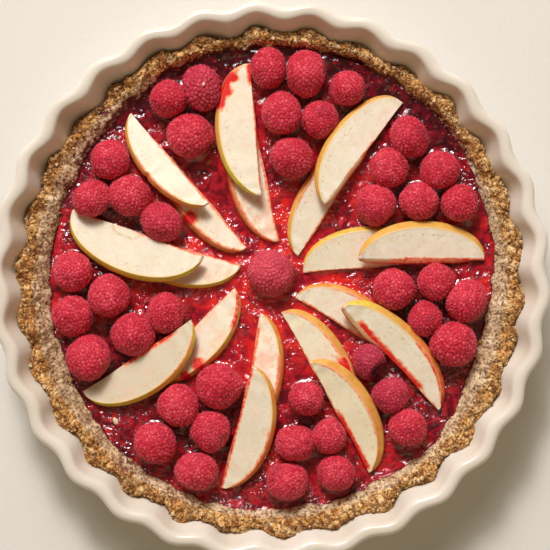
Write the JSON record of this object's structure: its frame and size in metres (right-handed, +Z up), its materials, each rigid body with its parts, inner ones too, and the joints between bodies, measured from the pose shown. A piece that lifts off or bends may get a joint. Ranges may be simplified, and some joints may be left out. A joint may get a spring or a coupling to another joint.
{
  "type": "fruit tart in a fluted dish",
  "caption": "Fruit tart in a fluted ceramic dish: crumbly baked crust, set red jelly, overlapping apple slices like spokes of a wheel, and whole raspberries.",
  "frame": {"origin": "on the dish's axis, at the level of its foot ring, where it stands", "axes": "+Z up along the dish's axis. +Y points from the centre berry towards the raspberry named north_1, and +X is to the right of it in a view from above."},
  "size_m": [0.2794, 0.2794, 0.0437],
  "materials": {
    "dish_glaze": "gloss",
    "baked_crust": "matte",
    "fruit_jelly": "gloss",
    "apple_slice": "satin",
    "raspberry": "satin"
  },
  "bodies": {
    "root": {"apple_slice_east_inner": "apple_slice", "apple_slice_east_outer": "apple_slice", "apple_slice_north_inner": "apple_slice", "apple_slice_north_outer": "apple_slice", "apple_slice_northeast_inner": "apple_slice", "apple_slice_northeast_outer": "apple_slice", "apple_slice_northwest_inner": "apple_slice", "apple_slice_northwest_outer": "apple_slice", "apple_slice_south_inner": "apple_slice", "apple_slice_south_outer": "apple_slice", "apple_slice_south_southeast_inner": "apple_slice", "apple_slice_south_southeast_outer": "apple_slice", "apple_slice_southeast_inner": "apple_slice", "apple_slice_southeast_outer": "apple_slice", "apple_slice_southwest_inner": "apple_slice", "apple_slice_southwest_outer": "apple_slice", "apple_slice_west_inner": "apple_slice", "apple_slice_west_outer": "apple_slice", "crust": "baked_crust", "fruit_jelly": "fruit_jelly", "raspberry_centre_1": "raspberry", "raspberry_east_1": "raspberry", "raspberry_east_2": "raspberry", "raspberry_east_3": "raspberry", "raspberry_east_4": "raspberry", "raspberry_east_5": "raspberry", "raspberry_north_1": "raspberry", "raspberry_north_2": "raspberry", "raspberry_north_3": "raspberry", "raspberry_north_4_and_5": "raspberry", "raspberry_north_6": "raspberry", "raspberry_northeast_1": "raspberry", "raspberry_northeast_2": "raspberry", "raspberry_northeast_3": "raspberry", "raspberry_northeast_4": "raspberry", "raspberry_northeast_5": "raspberry", "raspberry_northeast_6": "raspberry", "raspberry_northwest_1_and_2": "raspberry", "raspberry_northwest_3": "raspberry", "raspberry_south_1": "raspberry", "raspberry_south_2": "raspberry", "raspberry_south_3": "raspberry", "raspberry_south_4": "raspberry", "raspberry_south_5": "raspberry", "raspberry_south_southeast_1": "raspberry", "raspberry_south_southeast_2_and_3": "raspberry", "raspberry_south_southeast_4": "raspberry", "raspberry_south_southeast_5": "raspberry", "raspberry_southeast_1": "raspberry", "raspberry_southeast_2": "raspberry", "raspberry_southeast_3": "raspberry", "raspberry_southwest_1": "raspberry", "raspberry_southwest_2": "raspberry", "raspberry_southwest_3": "raspberry", "raspberry_southwest_4_and_5": "raspberry", "raspberry_southwest_6": "raspberry", "raspberry_west_1": "raspberry", "raspberry_west_2_and_3": "raspberry", "raspberry_west_4": "raspberry", "tart_dish": "dish_glaze"}
  },
  "joints": []
}
